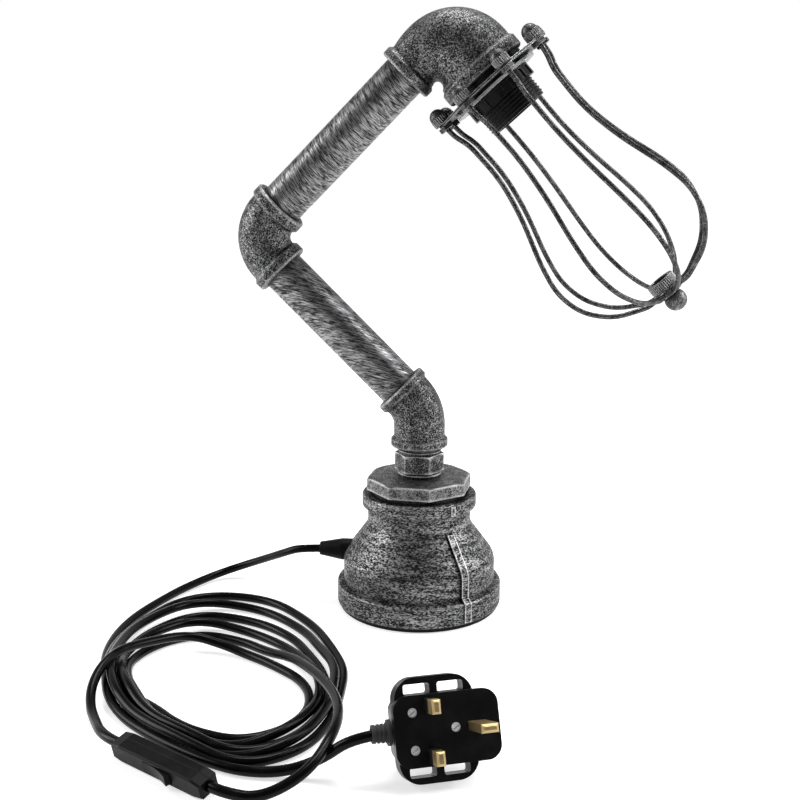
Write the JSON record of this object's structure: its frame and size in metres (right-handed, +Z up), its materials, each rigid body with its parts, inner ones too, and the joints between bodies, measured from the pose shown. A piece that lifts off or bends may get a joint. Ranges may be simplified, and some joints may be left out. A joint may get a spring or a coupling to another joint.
{
  "type": "table lamp",
  "caption": "Industrial table lamp built from pipe fittings, with swivelling elbows, a wire cage round the bulb, an in-line switch and a plug.",
  "frame": {"origin": "centre of the underside of the foot pad, on the surface that the lamp stands on", "axes": "+Z up; the arm leans back towards -X and the cage hangs forward towards +X, in the XZ plane; the cord leaves the foot towards -X and lies on the -Y side"},
  "size_m": [0.3508, 0.2988, 0.3674],
  "materials": {
    "cast_metal": "antique pewter, rubbed back to bright metal on the edges",
    "pipe_metal": "antique pewter, brushed",
    "cage_metal": "black, rubbed on the edges",
    "ball_metal": "dark satin",
    "holder_black": "black thermoset",
    "washer_grey": "light grey, slightly translucent",
    "contact_brass": "plain",
    "pad_rubber": "smooth",
    "cord_black": "glossy flexible jacket",
    "relief_black": "satin",
    "switch_black": "fine matt",
    "plug_black": "satin black",
    "pin_brass": "plain",
    "screw_steel": "bright",
    "grip_grey": "matt"
  },
  "bodies": {
    "foot": {"base_reducer": "cast_metal", "cord_coil": "cord_black", "cord_lead": "cord_black", "cord_run": "cord_black", "cord_tail": "cord_black", "earth_pin": "pin_brass", "foot_pad": "pad_rubber", "hex_nipple": "cast_metal", "line_pins": "pin_brass", "octagon_bush": "cast_metal", "pin_sleeves": "plug_black", "plug_base": "plug_black", "plug_cover": "plug_black", "plug_grip": "grip_grey", "plug_screws": "screw_steel", "rocker_pin": "screw_steel", "strain_relief": "relief_black", "switch_base": "switch_black", "switch_cover": "switch_black", "switch_screws": "screw_steel"},
    "lower_arm": {"elbow_45": "cast_metal", "lower_pipe": "pipe_metal"},
    "upper_arm": {"elbow_90": "cast_metal", "upper_pipe": "pipe_metal"},
    "head": {"cage_hex_nuts": "cage_metal", "cage_hub": "cage_metal", "cage_plate": "cage_metal", "cage_wire_1": "cage_metal", "cage_wire_2": "cage_metal", "cage_wire_3": "cage_metal", "cage_wire_4": "cage_metal", "cage_wire_5": "cage_metal", "cage_wire_6": "cage_metal", "cage_wire_7": "cage_metal", "cage_wire_8": "cage_metal", "cap_nuts": "cage_metal", "centre_contact": "contact_brass", "collar_ring": "holder_black", "contact_block": "holder_black", "finial_ball": "ball_metal", "holder_body": "holder_black", "hub_ring": "cage_metal", "reducing_elbow": "cast_metal", "screw_shell": "contact_brass", "shade_ring": "holder_black", "shade_washer": "washer_grey"},
    "rocker": {"switch_rocker": "switch_black"}
  },
  "joints": [
    {"name": "base_swivel", "type": "hinge", "parent": "foot", "child": "lower_arm", "pos_m": [0, 0, 0.11], "axis": [0, 0, 1], "range_deg": [-90, 90]},
    {"name": "mid_swivel", "type": "hinge", "parent": "lower_arm", "child": "upper_arm", "pos_m": [-0.10494, 0, 0.23403], "axis": [-0.7071, 0, 0.7071], "range_deg": [-60, 60]},
    {"name": "head_swivel", "type": "hinge", "parent": "upper_arm", "child": "head", "pos_m": [0.0157, 0, 0.35467], "axis": [0.7071, 0, 0.7071], "range_deg": [-75, 75]},
    {"name": "switch_rocker_tip", "type": "hinge", "parent": "foot", "child": "rocker", "pos_m": [-0.09778, -0.2262, 0.00558], "axis": [-0.1231, -0.2082, 0.9703], "range_deg": [0, 16]}
  ]
}
